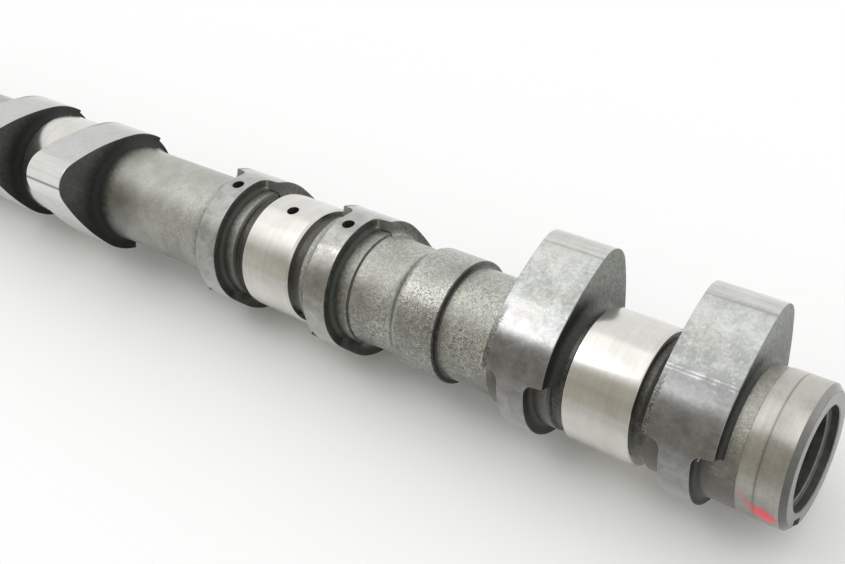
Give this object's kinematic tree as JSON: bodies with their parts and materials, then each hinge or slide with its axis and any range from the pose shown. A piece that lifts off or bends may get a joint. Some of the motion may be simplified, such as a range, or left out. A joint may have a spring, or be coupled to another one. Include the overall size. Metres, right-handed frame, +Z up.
{
  "type": "camshaft",
  "caption": "One-piece cast overhead camshaft for an inline engine: paired lobes either side of ground journals, relieved base circles, bored rear nose and front sprocket seat.",
  "frame": {"origin": "on the camshaft's axis, at the front shoulder that the sprocket seats against", "axes": "+X along the axis towards the rear end, +Z up as it lies on its lobes, +Y completes the set"},
  "size_m": [0.3878, 0.039, 0.039],
  "materials": {
    "cast_iron": "as-cast with ground lobes and journals"
  },
  "bodies": {
    "root": {"camshaft": "cast_iron"}
  },
  "joints": []
}
